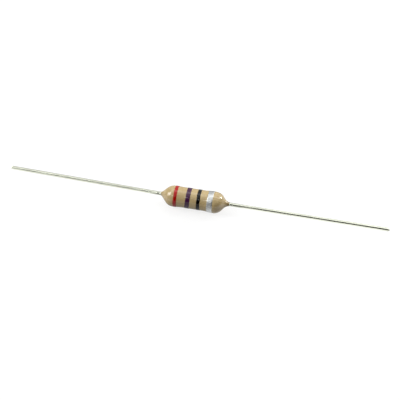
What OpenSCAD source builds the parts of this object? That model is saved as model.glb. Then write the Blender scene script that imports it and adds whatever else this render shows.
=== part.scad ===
// Axial inductor: a ferrite drum core wound with enamelled copper wire, with a tinned lead
// glued into each end, dipped in epoxy and marked with four painted colour bands.
// The part's axis is X and its origin is the middle of the core.

/* [Leads] */
// Length over both lead tips
overall_len = 64; // [52:1:80]
// Diameter of each lead
lead_d = 0.6; // [0.5:0.05:0.7]
// Depth of each lead in its hole in the core
lead_in_core = 1.1; // [0.8:0.1:1.5]
// Angle of the left lead to the axis, where it has left the epoxy, in degrees
left_bend = 1.15; // [0:0.05:4]
// Angle of the right lead to the axis, where it has left the epoxy, in degrees
right_bend = 0.6; // [0:0.05:4]
// Way that the left lead is bent, as a turn about the axis from +Y, in degrees
left_bend_turn = 0; // [-180:5:180]
// Way that the right lead is bent, as a turn about the axis from +Y, in degrees
right_bend_turn = 130; // [-180:5:180]
// Length of the wedge that the cutter pinches on each tip
cut_len = 0.3; // [0.1:0.05:0.5]
// Thickness left at the very end of the wedge
cut_edge = 0.14; // [0.06:0.02:0.3]
// Turn of the left tip's wedge about the axis, in degrees
left_cut_turn = -50; // [-90:5:90]
// Turn of the right tip's wedge about the axis, in degrees
right_cut_turn = -30; // [-90:5:90]

/* [Core] */
// Length of the drum core over its flanges
core_len = 7.6; // [6.2:0.1:9.2]
// Diameter of the two flanges
flange_d = 2.8; // [2.6:0.05:3.4]
// Thickness of each flange
flange_t = 0.7; // [0.5:0.05:0.9]
// Chamfer on the rims of the flanges
flange_edge = 0.1; // [0.05:0.01:0.14]
// Diameter of the leg between the flanges
leg_d = 2.1; // [1.7:0.05:2.3]
// Gap round a lead in its hole, which the adhesive fills
glue_gap = 0.05; // [0.03:0.01:0.1]
// Depth of adhesive past the end of each lead
glue_depth = 0.12; // [0.05:0.01:0.3]

/* [Winding] */
// Diameter of the enamelled wire
wire_d = 0.125; // [0.1:0.005:0.15]
// Distance that the two ends of the wire stand off the flanges
wire_slack = 0.04; // [0.03:0.01:0.06]
// Angle that the start of the wire wraps round the left lead, in degrees
wrap_turn = 300; // [120:10:340]
// Turn of the start of the wire about the axis, in degrees
start_turn = 145; // [0:5:355]
// Turn of the finish of the wire about the axis, in degrees
finish_turn = -35; // [-180:5:180]

/* [Solder] */
// Diameter of each solder joint at the flange
solder_d = 1.3; // [1.1:0.05:1.6]
// Length of each solder joint along the lead
solder_len = 0.65; // [0.4:0.05:0.8]

/* [Coating] */
// Epoxy over the left flange, where the body is widest
left_coat_on_flange = 0.36; // [0.3:0.01:0.6]
// Epoxy over the right flange
right_coat_on_flange = 0.40; // [0.3:0.01:0.6]
// Epoxy over the winding, at the waist
coat_on_winding = 0.525; // [0.35:0.005:0.7]
// Half the length of the plain waist
waist_half = 1.6; // [1:0.1:2]
// Distance from the left end of the core back to where the shoulder begins
left_shoulder_back = 0.35; // [0.2:0.01:0.6]
// Distance from the right end of the core back to where the shoulder begins
right_shoulder_back = 0.44; // [0.2:0.01:0.6]
// Radius of the rounded shoulders
shoulder_r = 1.75; // [1.4:0.05:2]
// Slope of the cone at the left end, in degrees
left_cone_angle = 47; // [42:1:58]
// Slope of the cone at the right end, in degrees
right_cone_angle = 52; // [42:1:58]
// Radius of the meniscus on the left lead
left_meniscus_r = 0.5; // [0.4:0.05:1.5]
// Radius of the meniscus on the right lead
right_meniscus_r = 1.35; // [0.4:0.05:2]
// Thickness of the epoxy where it ends on a lead
coat_end = 0.02; // [0.01:0.01:0.05]

/* [Colour bands] */
// Thickness of the paint
paint_t = 0.03; // [0.02:0.01:0.06]
// Distance from the left shoulder to the middle of the first band
first_band_in = 0.37; // [0.2:0.01:0.6]
// Distance from the first band to the second
second_band_step = 2.07; // [1.2:0.01:2.4]
// Distance from the second band to the third
third_band_step = 1.82; // [1.2:0.01:2.2]
// Distance from the third band to the fourth
fourth_band_step = 1.92; // [1.2:0.01:2.2]
// Width of the first band
first_band_w = 0.56; // [0.4:0.01:0.8]
// Width of the second band
second_band_w = 0.75; // [0.4:0.01:0.9]
// Width of the third band
third_band_w = 0.58; // [0.4:0.01:0.8]
// Width of the fourth band
fourth_band_w = 0.92; // [0.5:0.01:1.1]

/* [Hidden] */
$fn = 72;

left = -1;
right = 1;
lead_r = lead_d / 2;
hole_r = lead_r + glue_gap;
hole_depth = lead_in_core + glue_depth;
half_core = core_len / 2;
half_window = half_core - flange_t;
flange_r = flange_d / 2;
leg_r = leg_d / 2;
wire_r = wire_d / 2;
turns = floor(2 * half_window / wire_d);
pitch = 2 * half_window / turns;
winding_r = leg_r + wire_d;
solder_r = solder_d / 2;

// A bend's place past the end of the epoxy, and how much the lead swells there.
bend_gap = 0.04;
bend_swell = 0.002;

// Where each end of the wire runs: beside the lead, inside and outside its flange, over its rim.
side_y = lead_r + wire_r + wire_slack;
in_x = half_window - wire_r - wire_slack;
out_x = half_core + wire_r + wire_slack;
top_z = in_microns(sqrt(pow(flange_r + wire_r + wire_slack, 2) - pow(side_y, 2)));

waist_r = winding_r + coat_on_winding;

red = [0.72, 0.10, 0.08];
violet = [0.26, 0.14, 0.30];
black = [0.05, 0.05, 0.05];
silver = [0.80, 0.81, 0.83];
epoxy = [0.76, 0.66, 0.47];
ferrite = [0.20, 0.20, 0.21];
copper = [0.72, 0.36, 0.18];
tin = [0.78, 0.79, 0.76];
glue = [0.85, 0.78, 0.55];

// A length rounded to a whole number of microns.
function in_microns(length) = round(1000 * length) / 1000;

// The sizes of the dipped body that differ from side to side.
function bulge_r(side) = flange_r + (side == left ? left_coat_on_flange : right_coat_on_flange);
function shoulder_x(side) =
    half_core - (side == left ? left_shoulder_back : right_shoulder_back);
function cone_angle(side) = side == left ? left_cone_angle : right_cone_angle;
function meniscus_r(side) = side == left ? left_meniscus_r : right_meniscus_r;

// Where the rounded shoulder turns into the cone.
function cone_x(side) = shoulder_x(side) + shoulder_r * sin(cone_angle(side));
function cone_r(side) = bulge_r(side) - shoulder_r * (1 - cos(cone_angle(side)));

// Where the arc of the meniscus would meet the lead.
function meniscus_x(side) =
    cone_x(side) + (cone_r(side) - lead_r) / tan(cone_angle(side))
    + meniscus_r(side) * tan(cone_angle(side) / 2);

// How far from the middle of the core the epoxy reaches along a lead.
function tip_x(side) =
    in_microns(meniscus_x(side) - sqrt(coat_end * (2 * meniscus_r(side) - coat_end)));

// Radius of the dipped body at a distance a from the middle, on one side: a waist that swells
// to a bulge over the flange, a rounded shoulder, a cone and a meniscus.
function body_r(a, side) =
    a <= waist_half ? waist_r :
    a <= shoulder_x(side)
        ? waist_r + (bulge_r(side) - waist_r)
            * (1 - cos(180 * (a - waist_half) / (shoulder_x(side) - waist_half))) / 2 :
    a <= cone_x(side)
        ? bulge_r(side) - shoulder_r + sqrt(pow(shoulder_r, 2) - pow(a - shoulder_x(side), 2)) :
    a <= meniscus_x(side) - meniscus_r(side) * sin(cone_angle(side))
        ? cone_r(side) - (a - cone_x(side)) * tan(cone_angle(side)) :
    lead_r + meniscus_r(side) - sqrt(pow(meniscus_r(side), 2) - pow(meniscus_x(side) - a, 2));

// Radius of the dipped body at x.
function body_r_at(x) = body_r(abs(x), x < 0 ? left : right);

// Distances from the middle at which the outline has its points: more of them where it turns.
function stations(side) =
    let (angle = cone_angle(side),
         last = acos(1 - coat_end / meniscus_r(side)),
         step = (angle - last) / 7)
    concat(
        [for (i = [0 : 11]) waist_half + (shoulder_x(side) - waist_half) * i / 12],
        [for (i = [0 : 9]) shoulder_x(side) + shoulder_r * sin(angle * i / 10)],
        [cone_x(side)],
        [for (i = [0 : 6]) meniscus_x(side) - meniscus_r(side) * sin(angle - step * i)],
        [tip_x(side)]);

// Outline of one side of the dipped body as [radius, x], from the waist to the tip.
function side_outline(side) = [for (a = stations(side)) [body_r(a, side), a]];

// Outline of the dipped body as [radius, x], from the tip on the left to the tip on the right.
function body_outline() = concat(mirrored(side_outline(left)), side_outline(right));

// Outline of a solder joint as [radius, x], from the flange to its thin end on the lead.
function solder_outline() =
    [for (a = [0 : 15 : 90])
        [lead_r + (solder_r - lead_r) * cos(a), half_core + solder_len * sin(a)]];

// Outline of the turns as [radius, x], each turn a rounded ridge, from left to right.
function turns_outline() =
    [for (i = [0 : turns - 1], a = [0 : 30 : 150])
        [leg_r + wire_r + wire_r * sin(a), -half_window + pitch * (i + 0.5) - pitch / 2 * cos(a)]];

function mirrored(outline) =
    [for (i = [len(outline) - 1 : -1 : 0]) [outline[i][0], -outline[i][1]]];

function reversed(outline) = [for (i = [len(outline) - 1 : -1 : 0]) outline[i]];

// Outline of one flange as [radius, x], from its rim's inner corner to the hole for the lead.
function flange_outline() = [
    [flange_r - flange_edge, half_window],
    [flange_r, half_window + flange_edge],
    [flange_r, half_core - flange_edge],
    [flange_r - flange_edge, half_core]];

// Turns an outline of [radius, x] points about the part's axis.
module turned(outline) {
    rotate([0, 90, 0])
        rotate_extrude()
            polygon([for (p = outline) [p[0], p[1]]]);
}

// A round bar along the axis between two distances from the middle.
module bar(r, from_x, to_x) {
    translate([from_x, 0, 0])
        rotate([0, 90, 0])
            cylinder(r = r, h = to_x - from_x);
}

// Puts what is built on the right at the side that is asked for.
module on_side(side) {
    if (side == left) rotate([0, 0, 180]) children();
    else children();
}

module drum_core() {
    color(ferrite)
        difference() {
            turned(concat(
                [[0, -half_core]],
                mirrored(flange_outline()),
                [[leg_r, -half_window], [leg_r, half_window]],
                flange_outline(),
                [[0, half_core]]));
            for (side = [left, right])
                on_side(side) bar(hole_r, half_core - hole_depth, half_core + 1);
        }
}

// One end of the wire: up the inner face of a flange, over its rim, down its outer face
// and round the lead. Its inner end is inside the last turn.
module wire_end() {
    bend_r = wire_d;
    foot_z = in_microns(sqrt(pow(leg_r + wire_r, 2) - pow(side_y, 2)));
    translate([in_x, side_y, foot_z])
        cylinder(r = wire_r, h = top_z - bend_r - foot_z);
    translate([in_x + bend_r, side_y, top_z - bend_r])
        rotate([90, 0, 0]) bend(bend_r, 90);
    translate([0, side_y, top_z])
        bar(wire_r, in_x + bend_r, out_x - bend_r);
    translate([out_x - bend_r, side_y, top_z - bend_r])
        rotate([90, 0, 0]) bend(bend_r, 0);
    translate([out_x, side_y, 0])
        cylinder(r = wire_r, h = top_z - bend_r);
    translate([out_x, 0, 0])
        rotate([0, 90, 0]) wrap(side_y);
}

// A quarter turn of the wire.
module bend(r, start) {
    rotate([0, 0, start])
        rotate_extrude(angle = 90)
            translate([r, 0]) circle(r = wire_r);
}

// The turn of the wire round a lead.
module wrap(r) {
    rotate([0, 0, 90])
        rotate_extrude(angle = -wrap_turn)
            translate([r, 0]) circle(r = wire_r);
}

module wire_start() {
    rotate([start_turn, 0, 0]) on_side(left) wire_end();
}

module wire_finish() {
    rotate([finish_turn, 0, 0]) wire_end();
}

module winding() {
    color(copper)
        union() {
            turned(concat([[leg_r, -half_window]], turns_outline(),
                          [[leg_r + wire_r, half_window], [leg_r, half_window]]));
            wire_start();
            wire_finish();
        }
}

// A lead: straight from its hole to the end of the epoxy, then bent a little.
module lead(side, cut_turn) {
    bend = side == left ? left_bend : right_bend;
    bend_turn = side == left ? 180 - left_bend_turn : right_bend_turn;
    bend_x = tip_x(side) + bend_gap;
    color(tin)
        on_side(side)
            rotate([bend_turn, 0, 0]) {
                bar(lead_r, half_core - lead_in_core, bend_x);
                translate([bend_x, 0, 0]) {
                    sphere(r = lead_r + bend_swell);
                    rotate([cut_turn, 0, bend]) free_lead(overall_len / 2 - bend_x);
                }
            }
}

// The free part of a lead, with the wedge that the cutter leaves on its tip.
module free_lead(len) {
    wide = 2 * lead_r;
    rake_x = len - cut_len * (wide - cut_edge / 2) / (lead_r - cut_edge / 2);
    intersection() {
        bar(lead_r, 0, len);
        rotate([90, 0, 0])
            linear_extrude(height = 2 * wide, center = true)
                polygon([[-wide, -wide], [rake_x, -wide], [len, -cut_edge / 2],
                         [len, cut_edge / 2], [rake_x, wide], [-wide, wide]]);
    }
}

// The adhesive that holds a lead in its hole.
module adhesive(side) {
    color(glue)
        on_side(side)
            difference() {
                bar(hole_r, half_core - hole_depth, half_core);
                bar(lead_r, half_core - lead_in_core, half_core + 1);
            }
}

// The solder over the turn of wire at the foot of a lead.
module solder(side) {
    color(tin)
        difference() {
            on_side(side)
                turned(concat([[lead_r, half_core]], solder_outline()));
            if (side == left) wire_start();
            else wire_finish();
        }
}

// A slot in the epoxy for the end of the wire, from the last turn to the solder.
module wire_slot() {
    room = wire_r + wire_slack / 2;
    foot_z = lead_r + wire_r;
    translate([in_x - room, side_y - room, foot_z])
        cube([out_x - in_x + 2 * room, 2 * room, top_z + room - foot_z]);
}

module dipped_body() {
    turned(concat([[0, -tip_x(left)]], body_outline(), [[0, tip_x(right)]]));
}

// The room inside the epoxy: the outline of the core, the turns, the solder and the leads.
module coating_room() {
    turned(concat(
        [[0, -tip_x(left) - 1], [lead_r, -tip_x(left) - 1]],
        mirrored(solder_outline()),
        mirrored(flange_outline()),
        turns_outline(),
        [[leg_r + wire_r, half_window]],
        flange_outline(),
        solder_outline(),
        [[lead_r, tip_x(right) + 1], [0, tip_x(right) + 1]]));
    rotate([start_turn, 0, 0]) on_side(left) wire_slot();
    rotate([finish_turn, 0, 0]) wire_slot();
}

module coating() {
    color(epoxy)
        difference() {
            dipped_body();
            coating_room();
        }
}

// A ring of paint on the epoxy, with its middle at x.
module band(x, w, paint) {
    steps = 6;
    depth = 3 * paint_t;
    xs = [for (i = [0 : steps]) x - w / 2 + w * i / steps];
    color(paint)
        difference() {
            turned(concat(
                [for (s = xs) [body_r_at(s) + paint_t, s]],
                [for (s = reversed(xs)) [body_r_at(s) - depth, s]]));
            dipped_body();
        }
}

first_band_x = first_band_in - shoulder_x(left);
second_band_x = first_band_x + second_band_step;
third_band_x = second_band_x + third_band_step;
fourth_band_x = third_band_x + fourth_band_step;

coating();
drum_core();
winding();
lead(left, left_cut_turn);  // left_lead
lead(right, right_cut_turn);  // right_lead
adhesive(left);  // left_adhesive
adhesive(right);  // right_adhesive
solder(left);  // left_solder
solder(right);  // right_solder
band(first_band_x, first_band_w, red);  // first_digit_band
band(second_band_x, second_band_w, violet);  // second_digit_band
band(third_band_x, third_band_w, black);  // multiplier_band
band(fourth_band_x, fourth_band_w, silver);  // tolerance_band
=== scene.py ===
"""Axial inductor: a wound drum core dipped in epoxy, two tinned leads and four colour bands."""
import logging
import math
from collections.abc import Callable
from dataclasses import dataclass
from enum import Enum

import bmesh
import bpy
from mathutils import Matrix, Vector, noise


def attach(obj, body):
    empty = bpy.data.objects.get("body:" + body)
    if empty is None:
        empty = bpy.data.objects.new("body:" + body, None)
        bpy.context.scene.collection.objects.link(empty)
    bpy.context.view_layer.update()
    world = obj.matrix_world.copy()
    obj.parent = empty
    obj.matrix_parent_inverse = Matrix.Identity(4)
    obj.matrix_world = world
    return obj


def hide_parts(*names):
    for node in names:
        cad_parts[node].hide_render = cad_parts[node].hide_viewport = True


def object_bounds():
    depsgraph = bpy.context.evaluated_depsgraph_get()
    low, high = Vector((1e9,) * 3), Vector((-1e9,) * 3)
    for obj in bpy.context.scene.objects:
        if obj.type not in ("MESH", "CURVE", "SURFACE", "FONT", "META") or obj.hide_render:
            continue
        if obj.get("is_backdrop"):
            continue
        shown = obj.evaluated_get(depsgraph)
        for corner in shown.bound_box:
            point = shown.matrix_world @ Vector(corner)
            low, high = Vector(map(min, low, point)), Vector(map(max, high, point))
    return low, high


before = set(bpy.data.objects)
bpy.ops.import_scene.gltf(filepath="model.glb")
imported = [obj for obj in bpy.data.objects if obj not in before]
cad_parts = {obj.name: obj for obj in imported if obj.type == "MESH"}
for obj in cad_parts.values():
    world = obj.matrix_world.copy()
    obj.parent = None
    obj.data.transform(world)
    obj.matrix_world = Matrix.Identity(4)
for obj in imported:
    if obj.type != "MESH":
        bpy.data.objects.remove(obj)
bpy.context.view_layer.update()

log = logging.getLogger("axial_inductor")

MM = 0.001
AXIS = Vector((1.0, 0.0, 0.0))
FULL_TURN = 2.0 * math.pi
BODY = "root"
MERGE_DIST = 1e-5
CUT_DIST = 1e-6
WHITE = (1.0, 1.0, 1.0, 1.0)

Rgb = tuple[float, float, float]
Span = tuple[float, float]
Socket = bpy.types.NodeSocket
Feed = bpy.types.NodeSocket | float | tuple


class Side(Enum):
    """The two ends of the part, with the sign of X that each lies at."""

    LEFT = -1
    RIGHT = 1


class Ease(Enum):
    """How a ramp runs between its two ends."""

    STRAIGHT = "LINEAR"
    SOFT = "SMOOTHSTEP"


# ---- the dipped body ----


@dataclass(frozen=True)
class EndShape:
    """The outline of one end of the dipped body: bulge, shoulder, cone and meniscus, in millimetres.

    The body is waist_r thick as far as waist_half from its middle and bulges to bulge_r at shoulder_x.
    The epoxy is coat_end thick where it ends, and its last true_end lies true on the lead.
    """

    bulge_r: float
    shoulder_x: float
    cone_angle: float
    meniscus_r: float
    shoulder_r: float = 1.75
    waist_r: float = 1.70
    waist_half: float = 1.6
    lead_r: float = 0.3
    coat_end: float = 0.02
    true_end: float = 0.0
    waist_steps: int = 8
    curve_steps: int = 14
    neck_steps: int = 12

    def cone_start(self) -> tuple[float, float]:
        """Where the rounded shoulder turns into the cone, as (distance, radius)."""
        return (self.shoulder_x + self.shoulder_r * math.sin(self.cone_angle),
                self.bulge_r - self.shoulder_r * (1.0 - math.cos(self.cone_angle)))

    def meniscus_x(self) -> float:
        """Where the arc of the meniscus would meet the lead.

        Returns:
            The distance from the middle of the core, in millimetres.
        """
        cone_x, cone_r = self.cone_start()
        return (cone_x + (cone_r - self.lead_r) / math.tan(self.cone_angle)
                + self.meniscus_r * math.tan(self.cone_angle / 2.0))

    def tip(self) -> float:
        """Distance from the middle of the core to the end of the epoxy on the lead."""
        return self.meniscus_x() - math.sqrt(self.coat_end * (2.0 * self.meniscus_r - self.coat_end))

    def radius(self, a: float) -> float:
        """Radius of the round outline.

        Args:
            a: Distance from the middle of the core, in millimetres.

        Returns:
            The radius in millimetres.
        """
        cone_x, cone_r = self.cone_start()
        end = self.meniscus_x()
        if a <= self.waist_half:
            return self.waist_r
        if a <= self.shoulder_x:
            share = (a - self.waist_half) / (self.shoulder_x - self.waist_half)
            return self.waist_r + (self.bulge_r - self.waist_r) * (1.0 - math.cos(math.pi * share)) / 2.0
        if a <= cone_x:
            drop = math.sqrt(self.shoulder_r**2 - (a - self.shoulder_x)**2)
            return self.bulge_r - self.shoulder_r + drop
        if a <= end - self.meniscus_r * math.sin(self.cone_angle):
            return cone_r - (a - cone_x) * math.tan(self.cone_angle)
        return self.lead_r + self.meniscus_r - math.sqrt(max(0.0, self.meniscus_r**2 - (end - a)**2))

    def stations(self) -> list[float]:
        """Distances at which the outline has points, from beside the middle to the tip.

        Returns:
            The distances in millimetres, growing.
        """
        end = self.meniscus_x()
        last = math.acos(1.0 - self.coat_end / self.meniscus_r)
        rise = self.shoulder_x - self.waist_half
        waist = [self.waist_half * i / self.waist_steps for i in range(1, self.waist_steps)]
        ramp = [self.waist_half + rise * i / self.curve_steps for i in range(self.curve_steps)]
        arc = [self.shoulder_x + self.shoulder_r * math.sin(self.cone_angle * i / self.curve_steps)
               for i in range(self.curve_steps + 1)]
        turns = [self.cone_angle + (last - self.cone_angle) * i / self.neck_steps
                 for i in range(self.neck_steps + 1)]
        return waist + ramp + arc + [end - self.meniscus_r * math.sin(turn) for turn in turns]


@dataclass(frozen=True)
class DippedShape:
    """The dipped body's outline, in millimetres, and how far it departs from round.

    The epoxy sagged along sag_way while it cured, by sag_middle at the middle and sag_ends from sag_reach
    on. hold_len is the stretch over which sag and lumps fade out towards each tip.
    """

    left: EndShape = EndShape(bulge_r=1.76, shoulder_x=3.45, cone_angle=math.radians(47.0), meniscus_r=0.5)
    right: EndShape = EndShape(bulge_r=1.80, shoulder_x=3.36, cone_angle=math.radians(52.0),
                               meniscus_r=1.35, true_end=0.9)
    sag_middle: float = 0.035
    sag_ends: float = 0.085
    sag_reach: float = 4.3
    sag_way: Span = (-0.76, -0.65)
    hold_len: float = 1.5
    lump: float = 0.012
    lump_scale: Span = (0.45, 1.1)
    lump_seed: tuple[float, float, float] = (3.1, 0.7, 5.2)

    def end(self, x: float) -> EndShape:
        """The end on whose side x lies."""
        return self.left if x < 0.0 else self.right

    def radius(self, x: float) -> float:
        """Radius of the round outline at x, in millimetres."""
        return self.end(x).radius(abs(x))

    def hold(self, x: float) -> float:
        """How much of the sag and the lumps shows at x.

        Args:
            x: Distance along the axis, in millimetres.

        Returns:
            1 along the body, falling to 0 where the epoxy ends on the leads.
        """
        end = self.end(x)
        t = min(1.0, max(0.0, (end.tip() - end.true_end - abs(x)) / self.hold_len))
        return t * t * (3.0 - 2.0 * t)

    def shift(self, x: float, angle: float) -> tuple[float, float, float]:
        """How far the dipped surface lies off the round outline.

        Args:
            x: Distance along the axis, in millimetres.
            angle: Turn about the axis from +Y, in radians.

        Returns:
            The extra radius and the sag along Y and Z, in millimetres.
        """
        t = min(1.0, abs(x) / self.sag_reach)
        sag = (self.sag_middle + (self.sag_ends - self.sag_middle) * t * t) * self.hold(x)
        along, across = self.lump_scale
        spot = Vector((along * x, across * math.cos(angle), across * math.sin(angle)))
        extra = self.lump * noise.noise(spot + Vector(self.lump_seed)) * self.hold(x)
        return extra, sag * self.sag_way[0], sag * self.sag_way[1]

    def settle(self, co: Vector) -> Vector:
        """The place on the uneven dipped surface of a point near the round outline.

        Args:
            co: The point, in millimetres.

        Returns:
            The moved point, in millimetres.
        """
        angle = math.atan2(co.z, co.y)
        extra, dy, dz = self.shift(co.x, angle)
        r = math.hypot(co.y, co.z) + extra
        return Vector((co.x, r * math.cos(angle) + dy, r * math.sin(angle) + dz))


# ---- meshes ----


def spun(bm: bmesh.types.BMesh, outline: list[Span], steps: int) -> None:
    """Turns a closed outline about the X axis, as a lathe would.

    Args:
        bm: The mesh to add to.
        outline: Points as (x, radius) in millimetres, in order round the section.
        steps: How many faces the full turn has.
    """
    verts = [bm.verts.new((x, r, 0.0)) for x, r in outline]
    edges = [bm.edges.new((verts[i - 1], verts[i])) for i in range(len(verts))]
    bmesh.ops.spin(bm, geom=verts + edges, cent=(0, 0, 0), axis=AXIS, dvec=(0, 0, 0),
                   angle=FULL_TURN, steps=steps, use_merge=True, use_duplicate=False)
    bmesh.ops.remove_doubles(bm, verts=bm.verts, dist=MERGE_DIST)


def sliced(bm: bmesh.types.BMesh, spot: Vector, normal: Vector,
           clear: bool = False) -> list[bmesh.types.BMEdge]:
    """Cuts a mesh along a plane.

    Args:
        bm: The mesh.
        spot: A point on the plane, in millimetres.
        normal: The way the plane faces.
        clear: Whether what lies in front of the plane goes.

    Returns:
        The edges along the cut.
    """
    cut = bmesh.ops.bisect_plane(bm, geom=bm.verts[:] + bm.edges[:] + bm.faces[:], dist=CUT_DIST,
                                 plane_co=spot, plane_no=normal, clear_outer=clear)
    return [e for e in cut["geom_cut"] if isinstance(e, bmesh.types.BMEdge)]


def finished(bm: bmesh.types.BMesh, name: str, material: bpy.types.Material, slot: str,
             node: str, sharp: float) -> bpy.types.Object:
    """Makes a mesh in millimetres into a finished piece of the part.

    Args:
        bm: The mesh, which is freed.
        name: Name of the piece.
        material: What the piece is dressed in.
        slot: The record's material slot; not used.
        node: The solid that the piece is shown in place of.
        sharp: Angle in degrees past which an edge stays crisp.

    Returns:
        The object, which rides on the part.
    """
    bmesh.ops.scale(bm, vec=(MM, MM, MM), verts=bm.verts)
    bmesh.ops.recalc_face_normals(bm, faces=bm.faces)
    for face in bm.faces:
        face.smooth = True
    mesh = bpy.data.meshes.new(name)
    bm.to_mesh(mesh)
    bm.free()
    mesh.set_sharp_from_angle(angle=math.radians(sharp))
    mesh.materials.append(material)
    piece = bpy.data.objects.new(name, mesh)
    bpy.context.scene.collection.objects.link(piece)
    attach(piece, BODY)
    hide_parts(node)
    return piece


# ---- shaders ----


def linear(v: float) -> float:
    """One sRGB channel from 0 to 255, made linear."""
    v /= 255.0
    return v / 12.92 if v <= 0.04045 else ((v + 0.055) / 1.055) ** 2.4


def rgba(colour: Rgb) -> tuple[float, float, float, float]:
    """A colour written as sRGB from 0 to 255, made linear with an alpha of 1."""
    return (linear(colour[0]), linear(colour[1]), linear(colour[2]), 1.0)


class Nodes:
    """A node tree that is being built."""

    def __init__(self, tree: bpy.types.NodeTree) -> None:
        """Takes hold of a tree.

        Args:
            tree: The tree to add to.
        """
        self.nodes = tree.nodes
        self.links = tree.links

    def feed(self, socket: Socket, value: Feed) -> None:
        """Links an input to an output, or sets the input's own value.

        Args:
            socket: The input.
            value: The output that feeds it, or its value.
        """
        if isinstance(value, Socket):
            self.links.new(value, socket)
        else:
            socket.default_value = value

    def calc(self, kind: str, *values: Feed) -> Socket:
        """Adds a math node.

        Args:
            kind: The operation.
            *values: Up to three sockets or numbers.

        Returns:
            The result.
        """
        node = self.nodes.new("ShaderNodeMath")
        node.operation = kind
        for socket, value in zip(node.inputs, values):
            self.feed(socket, value)
        return node.outputs[0]

    def ramp(self, value: Socket, low: Span, high: Span, ease: Ease = Ease.SOFT) -> Socket:
        """Maps a value from one range to another, and holds it at the ends.

        Args:
            value: What is mapped.
            low: (value, result) at the start.
            high: (value, result) at the end.
            ease: How the result runs between them.

        Returns:
            The mapped value.
        """
        node = self.nodes.new("ShaderNodeMapRange")
        node.interpolation_type = ease.value
        node.inputs["From Min"].default_value = low[0]
        node.inputs["From Max"].default_value = high[0]
        node.inputs["To Min"].default_value = low[1]
        node.inputs["To Max"].default_value = high[1]
        self.links.new(value, node.inputs["Value"])
        return node.outputs["Result"]

    def step(self, value: Socket, span: Span) -> Socket:
        """A soft step from 0 at the start of a span to 1 at its end."""
        return self.ramp(value, (span[0], 0.0), (span[1], 1.0))

    def cloud(self, vector: Socket, scale: Feed, detail: float) -> Socket:
        """Adds a noise texture.

        Args:
            vector: The coordinates.
            scale: Its scale.
            detail: How many finer layers it has.

        Returns:
            The noise.
        """
        node = self.nodes.new("ShaderNodeTexNoise")
        node.inputs["Detail"].default_value = detail
        self.links.new(vector, node.inputs["Vector"])
        self.feed(node.inputs["Scale"], scale)
        return node.outputs["Fac"]

    def blend(self, factor: Socket, a: Feed, b: Feed) -> Socket:
        """Mixes two colours.

        Args:
            factor: 0 for a, 1 for b.
            a: A colour or its socket.
            b: A colour or its socket.

        Returns:
            The mixed colour.
        """
        node = self.nodes.new("ShaderNodeMix")
        node.data_type = "RGBA"
        self.links.new(factor, node.inputs["Factor"])
        self.feed(node.inputs["A"], a)
        self.feed(node.inputs["B"], b)
        return node.outputs["Result"]

    def split(self, vector: Socket) -> list[Socket]:
        """Takes a vector apart.

        Args:
            vector: The vector.

        Returns:
            Its X, Y and Z.
        """
        node = self.nodes.new("ShaderNodeSeparateXYZ")
        self.links.new(vector, node.inputs["Vector"])
        return [node.outputs[k] for k in "XYZ"]


def node_group(name: str, inputs: dict[str, tuple[str, float | tuple | None]], outputs: dict[str, str],
               fill: Callable[[Nodes, bpy.types.Node, bpy.types.Node], None]) -> bpy.types.NodeTree:
    """Makes a shader node group once, or gives the one already made.

    Args:
        name: Name of the group.
        inputs: Socket name to (socket type, default value).
        outputs: Socket name to socket type.
        fill: Adds the nodes between the group's input and output nodes.

    Returns:
        The group.
    """
    if name in bpy.data.node_groups:
        return bpy.data.node_groups[name]
    group = bpy.data.node_groups.new(name, "ShaderNodeTree")
    for label, (kind, value) in inputs.items():
        socket = group.interface.new_socket(label, in_out="INPUT", socket_type=kind)
        if value is not None:
            socket.default_value = value
    for label, kind in outputs.items():
        group.interface.new_socket(label, in_out="OUTPUT", socket_type=kind)
    fill(Nodes(group), group.nodes.new("NodeGroupInput"), group.nodes.new("NodeGroupOutput"))
    return group


def mottle_group() -> bpy.types.NodeTree:
    """Soft uneven colour: darker and lighter patches mixed over a base colour.

    Returns:
        The group.
    """
    detail = 3.0
    low, high = 0.3, 0.7

    def fill(n: Nodes, gin: bpy.types.Node, gout: bpy.types.Node) -> None:
        """Adds the group's nodes.

        Args:
            n: The group's tree.
            gin: Its input node.
            gout: Its output node.
        """
        patches = n.cloud(gin.outputs["Vector"], gin.outputs["Scale"], detail)
        mask = n.ramp(patches, (low, 0.0), (high, 1.0), Ease.STRAIGHT)
        amount = n.calc("MULTIPLY", mask, gin.outputs["Amount"])
        colour = n.blend(amount, gin.outputs["Base"], gin.outputs["Patch"])
        n.links.new(colour, gout.inputs["Color"])
        n.links.new(mask, gout.inputs["Mask"])

    return node_group(
        "mottle",
        {"Vector": ("NodeSocketVector", None), "Base": ("NodeSocketColor", (0.5, 0.5, 0.5, 1.0)),
         "Patch": ("NodeSocketColor", (0.4, 0.4, 0.4, 1.0)), "Scale": ("NodeSocketFloat", 1000.0),
         "Amount": ("NodeSocketFloat", 0.5)},
        {"Color": "NodeSocketColor", "Mask": "NodeSocketFloat"}, fill)


def ripple_group() -> bpy.types.NodeTree:
    """Height of a flowed surface: long ripples with a little fine peel on them.

    Returns:
        The group.
    """
    detail = 1.0
    peel_ratio = 4.5

    def fill(n: Nodes, gin: bpy.types.Node, gout: bpy.types.Node) -> None:
        """Adds the group's nodes.

        Args:
            n: The group's tree.
            gin: Its input node.
            gout: Its output node.
        """
        fine = n.calc("MULTIPLY", gin.outputs["Scale"], peel_ratio)
        ripples = n.cloud(gin.outputs["Vector"], gin.outputs["Scale"], detail)
        peel = n.cloud(gin.outputs["Vector"], fine, detail)
        height = n.calc("ADD", ripples, n.calc("MULTIPLY", peel, gin.outputs["Peel"]))
        n.links.new(height, gout.inputs["Height"])

    return node_group(
        "flow_ripple",
        {"Vector": ("NodeSocketVector", None), "Scale": ("NodeSocketFloat", 700.0),
         "Peel": ("NodeSocketFloat", 0.2)},
        {"Height": "NodeSocketFloat"}, fill)


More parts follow.
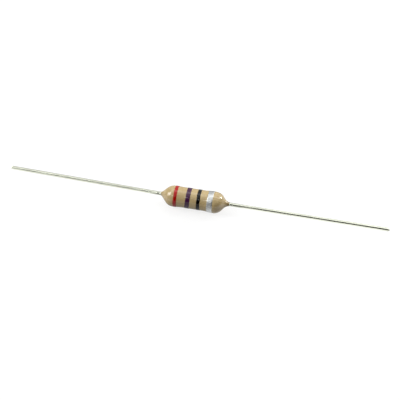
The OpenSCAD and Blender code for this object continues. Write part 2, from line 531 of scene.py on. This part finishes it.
@dataclass(frozen=True)
class Texture:
    """The fine structure of a finish: patches in its colour and gloss, and ripples in its surface.

    The scales are per metre and ripple_depth is in millimetres. Roughness runs from smoother below to
    duller above the finish's own.
    """

    patch_scale: float
    patch_share: float
    smoother: float
    duller: float
    ripple_scale: float
    peel: float
    ripple_depth: float
    ripple_share: float


class Shader(Nodes):
    """A material being built, with a Principled shader and the part's own coordinates."""

    def __init__(self, name: str) -> None:
        """Starts an empty material.

        Args:
            name: Name of the material.
        """
        self.material = bpy.data.materials.new(name)
        self.material.use_nodes = True
        super().__init__(self.material.node_tree)
        self.nodes.clear()
        out = self.nodes.new("ShaderNodeOutputMaterial")
        self.bsdf = self.nodes.new("ShaderNodeBsdfPrincipled")
        self.links.new(self.bsdf.outputs["BSDF"], out.inputs["Surface"])
        self.place = self.nodes.new("ShaderNodeTexCoord").outputs["Object"]

    def put(self, label: str, value: Feed) -> None:
        """Sets or links one of the Principled shader's inputs."""
        self.feed(self.bsdf.inputs[label], value)

    def stretched(self, scale: tuple[float, float, float]) -> Socket:
        """The part's coordinates stretched along the axes.

        Args:
            scale: Factor for each axis.

        Returns:
            The coordinates.
        """
        node = self.nodes.new("ShaderNodeMapping")
        node.inputs["Scale"].default_value = scale
        self.links.new(self.place, node.inputs["Vector"])
        return node.outputs["Vector"]

    def across(self, place: Socket, span: Span, results: Span = (0.0, 1.0)) -> Socket:
        """A soft change over a stretch of the part.

        Args:
            place: A coordinate, in metres.
            span: Where the stretch starts and ends, in millimetres.
            results: The results there.

        Returns:
            The result.
        """
        return self.ramp(place, (span[0] * MM, results[0]), (span[1] * MM, results[1]))

    def group(self, tree: bpy.types.NodeTree, vector: Socket, **values: float | tuple) -> bpy.types.Node:
        """Places a node group.

        Args:
            tree: The group.
            vector: What feeds its Vector socket.
            **values: Its other sockets' values, by name.

        Returns:
            The placed node.
        """
        node = self.nodes.new("ShaderNodeGroup")
        node.node_tree = tree
        self.links.new(vector, node.inputs["Vector"])
        for label, value in values.items():
            node.inputs[label].default_value = value
        return node

    def mottled(self, place: Socket, colour: Rgb, patch: Rgb, scale: float, share: float) -> bpy.types.Node:
        """Places the mottle group.

        Args:
            place: The coordinates.
            colour: The base colour.
            patch: The colour of the patches.
            scale: The patches' scale.
            share: How much of their colour shows.

        Returns:
            The placed node.
        """
        return self.group(mottle_group(), place, Base=rgba(colour), Patch=rgba(patch),
                          Scale=scale, Amount=share)

    def textured(self, texture: Texture, colour: Rgb, patch: Rgb, roughness: float,
                 patch_place: Socket | None = None, ripple_place: Socket | None = None) -> bpy.types.Node:
        """Gives the shader its colour, roughness and relief.

        Args:
            texture: The finish's fine structure.
            colour: The base colour.
            patch: The colour of the patches.
            roughness: The finish's own roughness.
            patch_place: Coordinates of the patches, where they are stretched.
            ripple_place: Coordinates of the ripples, where they are stretched.

        Returns:
            The placed mottle group.
        """
        body = self.mottled(patch_place or self.place, colour, patch, texture.patch_scale,
                            texture.patch_share)
        self.put("Base Color", body.outputs["Color"])
        self.put("Roughness", self.ramp(body.outputs["Mask"], (0.0, roughness - texture.smoother),
                                        (1.0, roughness + texture.duller)))
        ripple = self.group(ripple_group(), ripple_place or self.place, Scale=texture.ripple_scale,
                            Peel=texture.peel)
        bump = self.nodes.new("ShaderNodeBump")
        bump.inputs["Strength"].default_value = texture.ripple_share
        bump.inputs["Distance"].default_value = texture.ripple_depth * MM
        self.links.new(ripple.outputs["Height"], bump.inputs["Height"])
        self.put("Normal", bump.outputs["Normal"])
        return body


# ---- finishes ----


@dataclass(frozen=True)
class EpoxyFinish:
    """Glossy tan dipped epoxy, browner where it thins out on the leads, with fine darker flecks."""

    tan: Rgb = (200, 178, 130)
    patch: Rgb = (190, 165, 118)
    thin: Rgb = (128, 104, 62)
    fleck: Rgb = (172, 144, 98)
    fleck_scale: float = 5200.0
    fleck_mask: Span = (0.55, 0.8)
    fleck_share: float = 0.45
    right_neck: Span = (4.9, 5.9)
    right_share: float = 0.85
    left_neck: Span = (-5.7, -5.2)
    left_share: float = 0.45
    roughness: float = 0.165
    ior: float = 1.62
    texture: Texture = Texture(patch_scale=900.0, patch_share=0.7, smoother=0.03, duller=0.04,
                               ripple_scale=900.0, peel=0.12, ripple_depth=0.03, ripple_share=0.5)

    def build(self) -> bpy.types.Material:
        """Builds the material.

        Returns:
            The material.
        """
        s = Shader("dipped_epoxy")
        body = s.textured(self.texture, self.tan, self.patch, self.roughness)
        grain = s.mottled(s.place, self.tan, self.fleck, self.fleck_scale, 1.0)
        low, high = self.fleck_mask
        flecks = s.ramp(grain.outputs["Mask"], (low, 0.0), (high, self.fleck_share))
        x = s.split(s.place)[0]
        right = s.across(x, self.right_neck, (0.0, self.right_share))
        left = s.across(x, self.left_neck, (self.left_share, 0.0))
        tan = s.blend(flecks, body.outputs["Color"], rgba(self.fleck))
        s.put("Base Color", s.blend(right, s.blend(left, tan, rgba(self.thin)), rgba(self.thin)))
        s.put("IOR", self.ior)
        return s.material


@dataclass(frozen=True)
class PaintFinish:
    """Gloss paint put on with a wheel, a little thinner in places."""

    name: str
    colour: Rgb
    thin: Rgb
    roughness: float
    ior: float = 1.5
    wheel_way: tuple[float, float, float] = (1.0, 0.35, 0.35)
    texture: Texture = Texture(patch_scale=2600.0, patch_share=0.5, smoother=0.04, duller=0.06,
                               ripple_scale=1100.0, peel=0.2, ripple_depth=0.02, ripple_share=0.5)

    def build(self) -> bpy.types.Material:
        """Builds the material.

        Returns:
            The material.
        """
        s = Shader(self.name)
        s.textured(self.texture, self.colour, self.thin, self.roughness, s.stretched(self.wheel_way))
        s.put("IOR", self.ior)
        return s.material


@dataclass(frozen=True)
class SilverPaintFinish:
    """Silver paint: fine metal flake under a clear film."""

    name: str
    colour: Rgb = (210, 212, 211)
    flake: Rgb = (194, 197, 197)
    roughness: float = 0.41
    metallic: float = 0.97
    texture: Texture = Texture(patch_scale=9000.0, patch_share=0.6, smoother=0.06, duller=0.08,
                               ripple_scale=1400.0, peel=0.25, ripple_depth=0.02, ripple_share=0.5)

    def build(self) -> bpy.types.Material:
        """Builds the material.

        Returns:
            The material.
        """
        s = Shader(self.name)
        s.put("Metallic", self.metallic)
        s.textured(self.texture, self.colour, self.flake, self.roughness)
        return s.material


@dataclass(frozen=True)
class WireFinish:
    """Drawn metal wire with fine lines along it."""

    name: str
    colour: Rgb
    line: Rgb
    roughness: float
    metallic: float = 1.0
    line_scale: float = 5200.0
    line_way: tuple[float, float, float] = (0.035, 1.0, 1.0)
    ripple_way: tuple[float, float, float] = (0.12, 1.0, 1.0)

    def build(self) -> bpy.types.Material:
        """Builds the material.

        Returns:
            The material.
        """
        s = Shader(self.name)
        s.put("Metallic", self.metallic)
        drawn = Texture(patch_scale=self.line_scale, patch_share=0.7, smoother=0.06, duller=0.1,
                        ripple_scale=3000.0, peel=0.5, ripple_depth=0.006, ripple_share=0.6)
        s.textured(drawn, self.colour, self.line, self.roughness, s.stretched(self.line_way),
                   s.stretched(self.ripple_way))
        return s.material


@dataclass(frozen=True)
class GrainFinish:
    """A dull, grained solid such as ground ferrite or cured adhesive."""

    name: str
    colour: Rgb
    grain: Rgb
    roughness: float
    scale: float = 6000.0
    metallic: float = 0.0

    def build(self) -> bpy.types.Material:
        """Builds the material.

        Returns:
            The material.
        """
        s = Shader(self.name)
        s.put("Metallic", self.metallic)
        grained = Texture(patch_scale=self.scale, patch_share=0.8, smoother=0.08, duller=0.08,
                          ripple_scale=self.scale, peel=0.6, ripple_depth=0.008, ripple_share=0.6)
        s.textured(grained, self.colour, self.grain, self.roughness)
        return s.material


# ---- pieces ----


@dataclass
class Coating:
    """The epoxy shell over the wound core, open only where the leads come out.

    Sizes are in millimetres. The room inside follows the solder, the core's flanges and the winding. The
    points within near of the round outline are the outside, which sags.
    """

    shape: DippedShape
    finish: EpoxyFinish
    half_core: float = 3.8
    half_window: float = 3.1
    flange_r: float = 1.4
    flange_edge: float = 0.1
    winding_r: float = 1.18
    solder_r: float = 0.65
    solder_len: float = 0.65
    bore_cuts: int = 3
    blob_cuts: int = 6
    steps: int = 144
    near: float = 1e-4
    sharp: float = 40.0

    def room(self, side: Side) -> list[Span]:
        """Half of the outline of the room inside, from a tip to the winding.

        Args:
            side: The side that is asked for.

        Returns:
            Points as (x, radius) in millimetres.
        """
        end = self.shape.end(side.value)
        tip, lead_r = end.tip(), end.lead_r
        bore_len = tip - self.half_core - self.solder_len
        bore = [(tip - bore_len * i / self.bore_cuts, lead_r) for i in range(self.bore_cuts)]
        angles = [math.pi / 2.0 * i / self.blob_cuts for i in range(self.blob_cuts, -1, -1)]
        blob = [(self.half_core + self.solder_len * math.sin(a),
                 lead_r + (self.solder_r - lead_r) * math.cos(a)) for a in angles]
        low = self.flange_r - self.flange_edge
        flange = [(self.half_core, low), (self.half_core - self.flange_edge, self.flange_r),
                  (self.half_window + self.flange_edge, self.flange_r), (self.half_window, low),
                  (self.half_window, self.winding_r)]
        return [(side.value * x, r) for x, r in bore + blob + flange]

    def build(self) -> bpy.types.Object:
        """Builds and dresses the shell.

        Returns:
            The piece.
        """
        shape = self.shape
        left = [-a for a in reversed(shape.left.stations())]
        outer = [(x, shape.radius(x)) for x in left + [0.0] + shape.right.stations()]
        inner = self.room(Side.RIGHT) + list(reversed(self.room(Side.LEFT)))
        bm = bmesh.new()
        spun(bm, outer + inner, self.steps)
        for v in bm.verts:
            if abs(math.hypot(v.co.y, v.co.z) - shape.radius(v.co.x)) < self.near:
                v.co = shape.settle(v.co)
        return finished(bm, "dipped_epoxy_coating", self.finish.build(), "epoxy", "coating", self.sharp)


@dataclass
class Band:
    """A ring of paint on the epoxy, with the slightly uneven edges that a paint wheel leaves.

    Sizes are in millimetres. The ring leans by lean, and its edges stray by up to ragged. Each edge has its
    own waver, from noise that is read edges_apart. The paint rises over lip and is sunk a little into the
    epoxy.
    """

    shape: DippedShape
    finish: PaintFinish | SilverPaintFinish
    piece: str
    slot: str
    node: str
    x: float
    width: float
    seed: float
    lean: float = 0.0
    ragged: float = 0.036
    ragged_scale: float = 2.2
    edges_apart: float = 7.0
    thick: float = 0.03
    sunk: float = 0.006
    lip: float = 0.024
    lip_rise: tuple[Span, ...] = ((0.0, 0.0), (0.15, 0.5), (0.5, 0.87), (1.0, 1.0))
    cuts: int = 6
    steps: int = 144
    sharp: float = 60.0

    def waver(self, x: float, angle: float) -> float:
        """How far the paint's edge strays along the axis.

        Args:
            x: Distance from the middle of the core, in millimetres.
            angle: Turn about the axis from +Y, in radians.

        Returns:
            The stray in millimetres.
        """
        seed = self.seed + math.copysign(self.edges_apart, x - self.x)
        share = min(1.0, abs(x - self.x) / (self.width / 2.0))
        spot = Vector((seed, self.ragged_scale * math.cos(angle), self.ragged_scale * math.sin(angle)))
        return self.ragged * noise.noise(spot) * share + self.lean * math.sin(angle)

    def section(self) -> list[Span]:
        """The paint's section, over and then under.

        Returns:
            Points as (distance from the ring's middle, height over the epoxy) in millimetres.
        """
        half = self.width / 2.0
        flat = self.width - 2.0 * self.lip
        over = [(-half + self.lip * a, self.thick * b) for a, b in self.lip_rise]
        over += [(-half + self.lip + flat * i / self.cuts, self.thick) for i in range(1, self.cuts)]
        over += [(half - self.lip * a, self.thick * b) for a, b in reversed(self.lip_rise)]
        return over + [(half - self.width * i / self.cuts, -self.sunk) for i in range(self.cuts + 1)]

    def build(self) -> bpy.types.Object:
        """Builds and dresses the ring.

        Returns:
            The piece.
        """
        shape = self.shape
        bm = bmesh.new()
        spun(bm, [(self.x + dx, shape.radius(self.x + dx) + lift) for dx, lift in self.section()],
             self.steps)
        for v in bm.verts:
            angle = math.atan2(v.co.z, v.co.y)
            lift = math.hypot(v.co.y, v.co.z) - shape.radius(v.co.x)
            x = v.co.x + self.waver(v.co.x, angle)
            r = shape.radius(x) + lift
            v.co = shape.settle(Vector((x, r * math.cos(angle), r * math.sin(angle))))
        return finished(bm, self.piece, self.finish.build(), self.slot, self.node, self.sharp)


@dataclass
class Lead:
    """A lead: straight inside the part, bent a little where it comes out, with a pinched tip.

    It is made along +X. The bend is eased over bend_half to each side of bend_x, its way and the pinch
    are turned about the axis, and tip_whole is the length at the tip that no ring of edges crosses.
    """

    side: Side
    finish: WireFinish
    piece: str
    node: str
    bend: float
    bend_turn: float
    cut_turn: float
    bend_x: float
    r: float = 0.3
    foot: float = 2.7
    half_len: float = 32.0
    cut_len: float = 0.3
    cut_edge: float = 0.14
    bend_half: float = 0.15
    bend_cuts: int = 6
    free_cuts: int = 40
    tip_whole: float = 0.45
    steps: int = 40
    crisp: float = math.radians(30.0)
    off_foot: float = 0.1
    rounding: float = 0.018
    sharp: float = 35.0

    def pinch(self, bm: bmesh.types.BMesh) -> None:
        """Pinches the tip to a wedge, as a cutter does.

        Args:
            bm: The lead's mesh.
        """
        slope = (self.r - self.cut_edge / 2.0) / self.cut_len
        for s in (1.0, -1.0):
            spot = Vector((self.half_len, 0.0, s * self.cut_edge / 2.0))
            rim = sliced(bm, spot, Vector((slope, 0.0, s)).normalized(), clear=True)
            bmesh.ops.contextual_create(bm, geom=rim)

    def ring(self, bm: bmesh.types.BMesh) -> None:
        """Adds rings of edges round the bend and along the free length.

        Args:
            bm: The lead's mesh.
        """
        start = self.bend_x + self.bend_half
        free = self.half_len - self.tip_whole - start
        rings = [self.bend_x + self.bend_half * (2.0 * i / self.bend_cuts - 1.0)
                 for i in range(self.bend_cuts + 1)]
        rings += [start + free * i / self.free_cuts for i in range(1, self.free_cuts + 1)]
        for x in rings:
            sliced(bm, AXIS * x, AXIS)

    def soften(self, bm: bmesh.types.BMesh) -> None:
        """Rounds the crisp edges of the pinched tip.

        Args:
            bm: The lead's mesh.
        """
        crisp = [e for e in bm.edges if len(e.link_faces) == 2 and e.calc_face_angle(0.0) > self.crisp
                 and e.verts[0].co.x > self.foot + self.off_foot]
        bmesh.ops.bevel(bm, geom=crisp, offset=self.rounding, offset_type="OFFSET", segments=2,
                        profile=0.5, affect="EDGES", material=-1)

    def place(self, bm: bmesh.types.BMesh) -> None:
        """Turns the pinched tip, bends the lead and puts it on its side of the part.

        Args:
            bm: The lead's mesh.
        """
        turn = Matrix.Rotation(self.cut_turn, 3, "X")
        way = Vector((0.0, math.cos(self.bend_turn), math.sin(self.bend_turn)))
        for v in bm.verts:
            v.co = turn @ v.co
            past = v.co.x - self.bend_x
            eased = max(0.0, past)
            if abs(past) <= self.bend_half:
                eased = (past + self.bend_half) ** 2 / (4.0 * self.bend_half)
            v.co += way * (math.tan(self.bend) * eased)
            v.co.x = self.side.value * (v.co.x - (1.0 - math.cos(self.bend)) * eased)
        if self.side is Side.LEFT:
            bmesh.ops.reverse_faces(bm, faces=bm.faces)

    def build(self) -> bpy.types.Object:
        """Builds and dresses the lead.

        Returns:
            The piece.
        """
        bm = bmesh.new()
        bmesh.ops.create_cone(bm, cap_ends=True, segments=self.steps, radius1=self.r, radius2=self.r,
                              depth=self.half_len - self.foot)
        upright = Matrix.Rotation(math.pi / 2.0, 3, "Y")
        bmesh.ops.rotate(bm, verts=bm.verts, cent=(0, 0, 0), matrix=upright)
        bmesh.ops.translate(bm, verts=bm.verts, vec=AXIS * ((self.half_len + self.foot) / 2.0))
        self.pinch(bm)
        self.ring(bm)
        self.soften(bm)
        self.place(bm)
        return finished(bm, self.piece, self.finish.build(), "tinned_wire", self.node, self.sharp)


@dataclass
class CadDress:
    """Finishes for the solids that stay as the part's source makes them."""

    ferrite: GrainFinish = GrainFinish("ground_ferrite", (62, 62, 66), (44, 44, 47), roughness=0.55)
    copper: WireFinish = WireFinish("enamelled_copper", (190, 96, 52), (168, 76, 38), roughness=0.28,
                                    metallic=0.9, line_scale=3000.0)
    glue: GrainFinish = GrainFinish("cured_adhesive", (205, 190, 150), (190, 172, 130), roughness=0.45)
    solder: GrainFinish = GrainFinish("bright_solder", (190, 192, 192), (160, 162, 164), roughness=0.3,
                                      scale=4000.0, metallic=1.0)

    def dress(self) -> None:
        """Puts each finish on its solids."""
        plan = ((self.ferrite, ("drum_core",)), (self.copper, ("winding",)),
                (self.glue, ("left_adhesive", "right_adhesive")),
                (self.solder, ("left_solder", "right_solder")))
        for finish, names in plan:
            material = finish.build()
            for name in names:
                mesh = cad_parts[name].data
                mesh.materials.clear()
                mesh.materials.append(material)
                log.info("dressed %s in %s", name, material.name)


# ---- the studio ----


@dataclass(frozen=True)
class Lamp:
    """A rectangular soft lamp, aimed at the body.

    way is where it hangs as seen from the body, distance and size are in millimetres, and power is in
    watts. A way whose x passes along counts as one along the part.
    """

    name: str
    way: tuple[float, float, float]
    distance: float
    size: Span
    power: float
    along: float = 0.9

    def build(self) -> None:
        """Hangs the lamp, with its length along the part where it can."""
        data = bpy.data.lights.new(self.name, "AREA")
        data.shape = "RECTANGLE"
        data.size, data.size_y = self.size[0] * MM, self.size[1] * MM
        data.energy = self.power
        lamp = bpy.data.objects.new(self.name, data)
        bpy.context.scene.collection.objects.link(lamp)
        way = Vector(self.way).normalized()
        lamp.location = way * self.distance * MM
        flat = Vector((0.0, 0.0, 1.0)) if abs(way.x) > self.along else AXIS
        across = (flat - way * flat.dot(way)).normalized()
        lamp.rotation_euler = Matrix((across, way.cross(across), way)).transposed().to_euler()
        lamp.visible_camera = False


@dataclass(frozen=True)
class Table:
    """The white table, in millimetres.

    It gives off fill all over. The camera also sees it glow, by seen near the part and by far_more in
    addition from the end of glow_span on. The other fields are met by mirror rays only, which put the
    light and dark parts of the photograph's studio into the leads and the gloss: shine is the strength
    under the body, left and right of body_turn, and side_shine the strength beyond the body's ends.
    """

    half: float = 900.0
    grey: float = 0.22
    roughness: float = 0.9
    seen: float = 0.64
    far_more: float = 0.3
    glow_span: Span = (60.0, 300.0)
    fill: float = 0.17
    shine: Span = (0.25, 0.55)
    body_turn: Span = (1.5, 2.2)
    body_reach: Span = (4.0, 7.0)
    side_shine: float = 1.0
    right_side: Span = (6.5, 8.5)
    left_side: Span = (-8.5, -6.5)
    left_back: Span = (-1.0, 0.5)
    left_back_share: float = 0.3

    def mirrored(self, s: Shader, x: Socket, y: Socket) -> Socket:
        """How bright the table is in a mirror.

        Args:
            s: The table's material.
            x: The place along the part, in metres.
            y: The place across it, in metres.

        Returns:
            The strength.
        """
        near = s.across(s.calc("ABSOLUTE", y), self.body_reach, (1.0, 0.0))
        body = s.calc("MULTIPLY", near, s.across(x, self.body_turn, self.shine))
        right = s.across(x, self.right_side)
        left = s.calc("MULTIPLY", s.across(x, self.left_side, (1.0, 0.0)),
                      s.across(y, self.left_back, (1.0, self.left_back_share)))
        sides = s.calc("MULTIPLY", s.calc("MAXIMUM", left, right), self.side_shine)
        return s.calc("MAXIMUM", body, sides)

    def build(self) -> None:
        """Lays the table under the part."""
        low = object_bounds()[0].z
        bm = bmesh.new()
        bmesh.ops.create_grid(bm, x_segments=1, y_segments=1, size=self.half * MM)
        bmesh.ops.translate(bm, verts=bm.verts, vec=(0.0, 0.0, low))
        mesh = bpy.data.meshes.new("table")
        bm.to_mesh(mesh)
        bm.free()
        table = bpy.data.objects.new("table", mesh)
        bpy.context.scene.collection.objects.link(table)
        s = Shader("white_table")
        s.put("Base Color", (self.grey, self.grey, self.grey, 1.0))
        s.put("Roughness", self.roughness)
        s.put("Specular IOR Level", 0.0)
        path = s.nodes.new("ShaderNodeLightPath").outputs
        x, y, _ = s.split(s.place)
        shine = s.calc("MULTIPLY", self.mirrored(s, x, y), path["Is Glossy Ray"])
        out = s.calc("SQRT", s.calc("MULTIPLY_ADD", x, x, s.calc("MULTIPLY", y, y)))
        seen = s.across(out, self.glow_span, (self.seen, self.seen + self.far_more))
        fill = s.calc("MULTIPLY_ADD", path["Is Camera Ray"], seen, self.fill)
        s.put("Emission Color", WHITE)
        s.put("Emission Strength", s.calc("ADD", shine, fill))
        mesh.materials.append(s.material)
        table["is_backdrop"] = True


@dataclass(frozen=True)
class Room:
    """The room as strengths of light by direction, from 0 to 1 along each axis.

    It is white where it is seen. Its light is base all round and above more overhead. A zone at the front
    takes the share dim off that; it lies between dim_left and dim_right and under dim_line, which is a
    slope and a height in x and z. Mirror rays also meet front_shine at the front left and back_shine at
    the back right.
    """

    base: float = 0.005
    above: float = 0.13
    above_span: Span = (0.3, 0.9)
    front_span: Span = (0.0, 0.3)
    dim: float = 0.92
    dim_left: Span = (-0.27, -0.18)
    dim_right: Span = (0.4, 0.6)
    dim_line: Span = (8.0, 1.46)
    dim_edge: Span = (-0.12, 0.12)
    front_shine: float = 0.29
    front_left: Span = (-0.31, -0.2)
    back_shine: float = 0.6
    back_span: Span = (0.0, 0.3)
    back_right: Span = (-0.105, -0.08)

    def build(self) -> None:
        """Makes the world."""
        world = bpy.data.worlds.new("room")
        bpy.context.scene.world = world
        world.use_nodes = True
        n = Nodes(world.node_tree)
        n.nodes.clear()
        out = n.nodes.new("ShaderNodeOutputWorld")
        back = n.nodes.new("ShaderNodeBackground")
        n.links.new(back.outputs[0], out.inputs["Surface"])
        path = n.nodes.new("ShaderNodeLightPath").outputs
        x, y, z = n.split(n.nodes.new("ShaderNodeTexCoord").outputs["Generated"])
        front = n.step(n.calc("MULTIPLY", y, -1.0), self.front_span)
        under = n.step(n.calc("SUBTRACT", n.calc("MULTIPLY_ADD", x, *self.dim_line), z), self.dim_edge)
        wide = n.calc("SUBTRACT", n.step(x, self.dim_left), n.step(x, self.dim_right))
        dark = n.calc("MULTIPLY", n.calc("MULTIPLY", n.calc("MULTIPLY", wide, under), front), self.dim)
        dome = n.calc("MULTIPLY", n.calc("MULTIPLY_ADD", n.step(z, self.above_span), self.above, self.base),
                      n.calc("SUBTRACT", 1.0, dark))
        left = n.calc("SUBTRACT", 1.0, n.step(x, self.front_left))
        right = n.calc("MULTIPLY", n.step(y, self.back_span), n.step(x, self.back_right))
        shine = n.calc("MULTIPLY_ADD", n.calc("MULTIPLY", front, left), self.front_shine,
                       n.calc("MULTIPLY", right, self.back_shine))
        dome = n.calc("MULTIPLY_ADD", shine, path["Is Glossy Ray"], dome)
        seen = n.calc("MAXIMUM", path["Is Camera Ray"], path["Is Transmission Ray"])
        back.inputs["Color"].default_value = WHITE
        n.links.new(n.calc("MAXIMUM", seen, dome), back.inputs["Strength"])


@dataclass
class Studio:
    """White table, soft room, lamps and camera. distance and target are in millimetres."""

    table: Table = Table()
    room: Room = Room()
    lamps: tuple[Lamp, ...] = (
        Lamp("top_softbox", (0.0, 0.37, 0.93), 260.0, (364.0, 120.0), 0.25),
        Lamp("back_softbox", (0.0, 0.88, 0.45), 260.0, (500.0, 200.0), 0.185),
        Lamp("overhead", (0.0, -0.15, 0.99), 260.0, (500.0, 130.0), 0.12),
        Lamp("front_strip", (-0.25, -0.61, 0.75), 300.0, (72.0, 10.0), 0.032),
        Lamp("right_softbox", (0.72, 0.58, 0.38), 260.0, (70.0, 70.0), 0.38),
        Lamp("left_softbox", (-0.78, -0.18, 0.60), 260.0, (150.0, 130.0), 0.455),
    )
    azimuth: float = math.radians(11.73)
    elevation: float = math.radians(50.0)
    distance: float = 155.5
    target: tuple[float, float, float] = (0.892, 0.034, -0.125)
    focal_px: float = 941.5
    picture_px: float = 400.0
    sensor: float = 36.0
    clip: Span = (0.005, 10.0)

    def camera(self) -> None:
        """Places the camera where the photograph was taken from."""
        data = bpy.data.cameras.new("camera")
        data.sensor_fit = "HORIZONTAL"
        data.sensor_width = self.sensor
        data.lens = self.sensor * self.focal_px / self.picture_px
        data.clip_start, data.clip_end = self.clip
        cam = bpy.data.objects.new("camera", data)
        bpy.context.scene.collection.objects.link(cam)
        a, e = self.azimuth, self.elevation
        back = Vector((math.sin(a) * math.cos(e), -math.cos(a) * math.cos(e), math.sin(e)))
        cam.location = (Vector(self.target) + back * self.distance) * MM
        cam.rotation_euler = (-back).to_track_quat("-Z", "Y").to_euler()
        bpy.context.scene.camera = cam

    def build(self) -> None:
        """Builds the whole studio."""
        self.table.build()
        self.room.build()
        for lamp in self.lamps:
            lamp.build()
            log.info("hung %s", lamp.name)
        self.camera()


def colour_bands(shape: DippedShape) -> list[Band]:
    """The four bands of the colour code, from the left.

    Args:
        shape: The body that they are painted on.

    Returns:
        The bands.
    """
    red = PaintFinish("red_paint", (174, 6, 1), (184, 22, 11), roughness=0.16, ior=1.56)
    violet = PaintFinish("violet_paint", (64, 19, 60), (78, 35, 75), roughness=0.15, ior=1.6)
    black = PaintFinish("black_paint", (3, 2, 1), (8, 6, 4), roughness=0.13)
    silver = SilverPaintFinish("silver_paint")
    return [
        Band(shape, red, "first_digit_ring", red.name, "first_digit_band",
             x=-3.08, width=0.56, seed=1.0, lean=0.02),
        Band(shape, violet, "second_digit_ring", violet.name, "second_digit_band",
             x=-1.01, width=0.75, seed=4.0, lean=0.09),
        Band(shape, black, "multiplier_ring", black.name, "multiplier_band",
             x=0.81, width=0.58, seed=8.0),
        Band(shape, silver, "tolerance_ring", silver.name, "tolerance_band",
             x=2.73, width=0.92, seed=12.0),
    ]


def wire_leads(shape: DippedShape) -> list[Lead]:
    """The two leads, from the left.

    Args:
        shape: The body that they come out of.

    Returns:
        The leads.
    """
    tin = WireFinish("tinned_wire", (219, 222, 206), (187, 190, 173), roughness=0.24)
    past_tip = 0.04
    return [
        Lead(Side.LEFT, tin, "left_wire", "left_lead", bend=math.radians(1.15), bend_turn=0.0,
             cut_turn=math.radians(-50.0), bend_x=shape.left.tip() + past_tip),
        Lead(Side.RIGHT, tin, "right_wire", "right_lead", bend=math.radians(0.6),
             bend_turn=math.radians(130.0), cut_turn=math.radians(-30.0),
             bend_x=shape.right.tip() + past_tip),
    ]


def main() -> None:
    """Builds the part and its studio."""
    logging.basicConfig(level=logging.INFO, format="%(name)s: %(message)s")
    bpy.context.scene.view_settings.view_transform = "Standard"
    shape = DippedShape()
    for maker in (Coating(shape, EpoxyFinish()), *colour_bands(shape), *wire_leads(shape)):
        piece = maker.build()
        log.info("built %s with %d faces", piece.name, len(piece.data.polygons))
    CadDress().dress()
    Studio().build()


if __name__ == "__main__":
    main()
